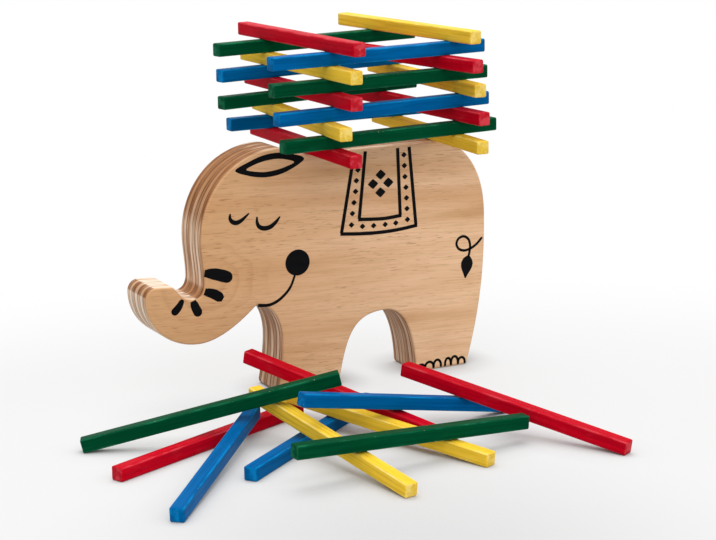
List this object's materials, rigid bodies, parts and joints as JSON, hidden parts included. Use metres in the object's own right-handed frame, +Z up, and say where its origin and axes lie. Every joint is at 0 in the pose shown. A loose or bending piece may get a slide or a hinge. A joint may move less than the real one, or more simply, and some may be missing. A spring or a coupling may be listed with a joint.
{
  "type": "balance game",
  "caption": "Elephant sawn from thick plywood that carries coloured square wooden sticks stacked crosswise on its flat back, with loose sticks lying before its feet.",
  "frame": {"origin": "on the table, under the middle of the whole set's box", "axes": "+Z up, +X from the trunk towards the rump, -Y towards the printed face and the player"},
  "size_m": [0.2196, 0.2289, 0.1648],
  "materials": {
    "plywood": "sanded, clear matt lacquer, black printed face",
    "red_paint": "satin paint over wood",
    "yellow_paint": "satin paint over wood",
    "green_paint": "satin paint over wood",
    "blue_paint": "satin paint over wood"
  },
  "bodies": {
    "elephant": {"elephant": "plywood"},
    "stack_stick_01_red": {"stack_stick_01_red": "red_paint"},
    "stack_stick_02_yellow": {"stack_stick_02_yellow": "yellow_paint"},
    "stack_stick_03_green": {"stack_stick_03_green": "green_paint"},
    "stack_stick_04_blue": {"stack_stick_04_blue": "blue_paint"},
    "stack_stick_05_yellow": {"stack_stick_05_yellow": "yellow_paint"},
    "stack_stick_06_red": {"stack_stick_06_red": "red_paint"},
    "stack_stick_07_blue": {"stack_stick_07_blue": "blue_paint"},
    "stack_stick_08_green": {"stack_stick_08_green": "green_paint"},
    "stack_stick_09_red": {"stack_stick_09_red": "red_paint"},
    "stack_stick_10_yellow": {"stack_stick_10_yellow": "yellow_paint"},
    "stack_stick_11_green": {"stack_stick_11_green": "green_paint"},
    "stack_stick_12_blue": {"stack_stick_12_blue": "blue_paint"},
    "stack_stick_13_yellow": {"stack_stick_13_yellow": "yellow_paint"},
    "stack_stick_14_red": {"stack_stick_14_red": "red_paint"},
    "stack_stick_15_blue": {"stack_stick_15_blue": "blue_paint"},
    "stack_stick_16_green": {"stack_stick_16_green": "green_paint"},
    "stack_stick_17_red": {"stack_stick_17_red": "red_paint"},
    "stack_stick_18_yellow": {"stack_stick_18_yellow": "yellow_paint"},
    "loose_stick_01_red": {"loose_stick_01_red": "red_paint"},
    "loose_stick_02_blue": {"loose_stick_02_blue": "blue_paint"},
    "loose_stick_03_blue": {"loose_stick_03_blue": "blue_paint"},
    "loose_stick_04_yellow": {"loose_stick_04_yellow": "yellow_paint"},
    "loose_stick_05_yellow": {"loose_stick_05_yellow": "yellow_paint"},
    "loose_stick_06_red": {"loose_stick_06_red": "red_paint"},
    "loose_stick_07_blue": {"loose_stick_07_blue": "blue_paint"},
    "loose_stick_08_green": {"loose_stick_08_green": "green_paint"},
    "loose_stick_09_green": {"loose_stick_09_green": "green_paint"},
    "loose_stick_10_red": {"loose_stick_10_red": "red_paint"}
  },
  "joints": [
    {"name": "lift_stack_01", "type": "slide", "parent": "elephant", "child": "stack_stick_01_red", "axis": [0, 0, 1], "range_m": [0, 0.03]},
    {"name": "lift_stack_02", "type": "slide", "parent": "stack_stick_01_red", "child": "stack_stick_02_yellow", "axis": [0, 0, 1], "range_m": [0, 0.03]},
    {"name": "lift_stack_03", "type": "slide", "parent": "stack_stick_02_yellow", "child": "stack_stick_03_green", "axis": [0, 0, 1], "range_m": [0, 0.03]},
    {"name": "lift_stack_04", "type": "slide", "parent": "stack_stick_03_green", "child": "stack_stick_04_blue", "axis": [0, 0, 1], "range_m": [0, 0.03]},
    {"name": "lift_stack_05", "type": "slide", "parent": "stack_stick_04_blue", "child": "stack_stick_05_yellow", "axis": [0, 0, 1], "range_m": [0, 0.03]},
    {"name": "lift_stack_06", "type": "slide", "parent": "stack_stick_05_yellow", "child": "stack_stick_06_red", "axis": [0, 0, 1], "range_m": [0, 0.03]},
    {"name": "lift_stack_07", "type": "slide", "parent": "stack_stick_06_red", "child": "stack_stick_07_blue", "axis": [0, 0, 1], "range_m": [0, 0.03]},
    {"name": "lift_stack_08", "type": "slide", "parent": "stack_stick_07_blue", "child": "stack_stick_08_green", "axis": [0, 0, 1], "range_m": [0, 0.03]},
    {"name": "lift_stack_09", "type": "slide", "parent": "stack_stick_08_green", "child": "stack_stick_09_red", "axis": [0, 0, 1], "range_m": [0, 0.03]},
    {"name": "lift_stack_10", "type": "slide", "parent": "stack_stick_09_red", "child": "stack_stick_10_yellow", "axis": [0, 0, 1], "range_m": [0, 0.03]},
    {"name": "lift_stack_11", "type": "slide", "parent": "stack_stick_10_yellow", "child": "stack_stick_11_green", "axis": [0, 0, 1], "range_m": [0, 0.03]},
    {"name": "lift_stack_12", "type": "slide", "parent": "stack_stick_11_green", "child": "stack_stick_12_blue", "axis": [0, 0, 1], "range_m": [0, 0.03]},
    {"name": "lift_stack_13", "type": "slide", "parent": "stack_stick_12_blue", "child": "stack_stick_13_yellow", "axis": [0, 0, 1], "range_m": [0, 0.03]},
    {"name": "lift_stack_14", "type": "slide", "parent": "stack_stick_13_yellow", "child": "stack_stick_14_red", "axis": [0, 0, 1], "range_m": [0, 0.03]},
    {"name": "lift_stack_15", "type": "slide", "parent": "stack_stick_14_red", "child": "stack_stick_15_blue", "axis": [0, 0, 1], "range_m": [0, 0.03]},
    {"name": "lift_stack_16", "type": "slide", "parent": "stack_stick_15_blue", "child": "stack_stick_16_green", "axis": [0, 0, 1], "range_m": [0, 0.03]},
    {"name": "lift_stack_17", "type": "slide", "parent": "stack_stick_16_green", "child": "stack_stick_17_red", "axis": [0, 0, 1], "range_m": [0, 0.03]},
    {"name": "lift_stack_18", "type": "slide", "parent": "stack_stick_17_red", "child": "stack_stick_18_yellow", "axis": [0, 0, 1], "range_m": [0, 0.03]},
    {"name": "lift_loose_01", "type": "slide", "parent": "elephant", "child": "loose_stick_01_red", "axis": [0, -0.5, 0.866], "range_m": [0, 0.03]},
    {"name": "lift_loose_02", "type": "slide", "parent": "loose_stick_01_red", "child": "loose_stick_02_blue", "axis": [0, -0.5, 0.866], "range_m": [0, 0.03]},
    {"name": "lift_loose_03", "type": "slide", "parent": "loose_stick_02_blue", "child": "loose_stick_03_blue", "axis": [0, -0.5, 0.866], "range_m": [0, 0.03]},
    {"name": "lift_loose_04", "type": "slide", "parent": "loose_stick_03_blue", "child": "loose_stick_04_yellow", "axis": [0, -0.5, 0.866], "range_m": [0, 0.03]},
    {"name": "lift_loose_05", "type": "slide", "parent": "loose_stick_04_yellow", "child": "loose_stick_05_yellow", "axis": [0, -0.5, 0.866], "range_m": [0, 0.03]},
    {"name": "lift_loose_06", "type": "slide", "parent": "loose_stick_05_yellow", "child": "loose_stick_06_red", "axis": [0, -0.5, 0.866], "range_m": [0, 0.03]},
    {"name": "lift_loose_07", "type": "slide", "parent": "loose_stick_06_red", "child": "loose_stick_07_blue", "axis": [0, -0.5, 0.866], "range_m": [0, 0.03]},
    {"name": "lift_loose_08", "type": "slide", "parent": "loose_stick_07_blue", "child": "loose_stick_08_green", "axis": [0, -0.5, 0.866], "range_m": [0, 0.03]},
    {"name": "lift_loose_09", "type": "slide", "parent": "loose_stick_08_green", "child": "loose_stick_09_green", "axis": [0, -0.5, 0.866], "range_m": [0, 0.03]},
    {"name": "lift_loose_10", "type": "slide", "parent": "loose_stick_09_green", "child": "loose_stick_10_red", "axis": [0, -0.5, 0.866], "range_m": [0, 0.03]}
  ]
}
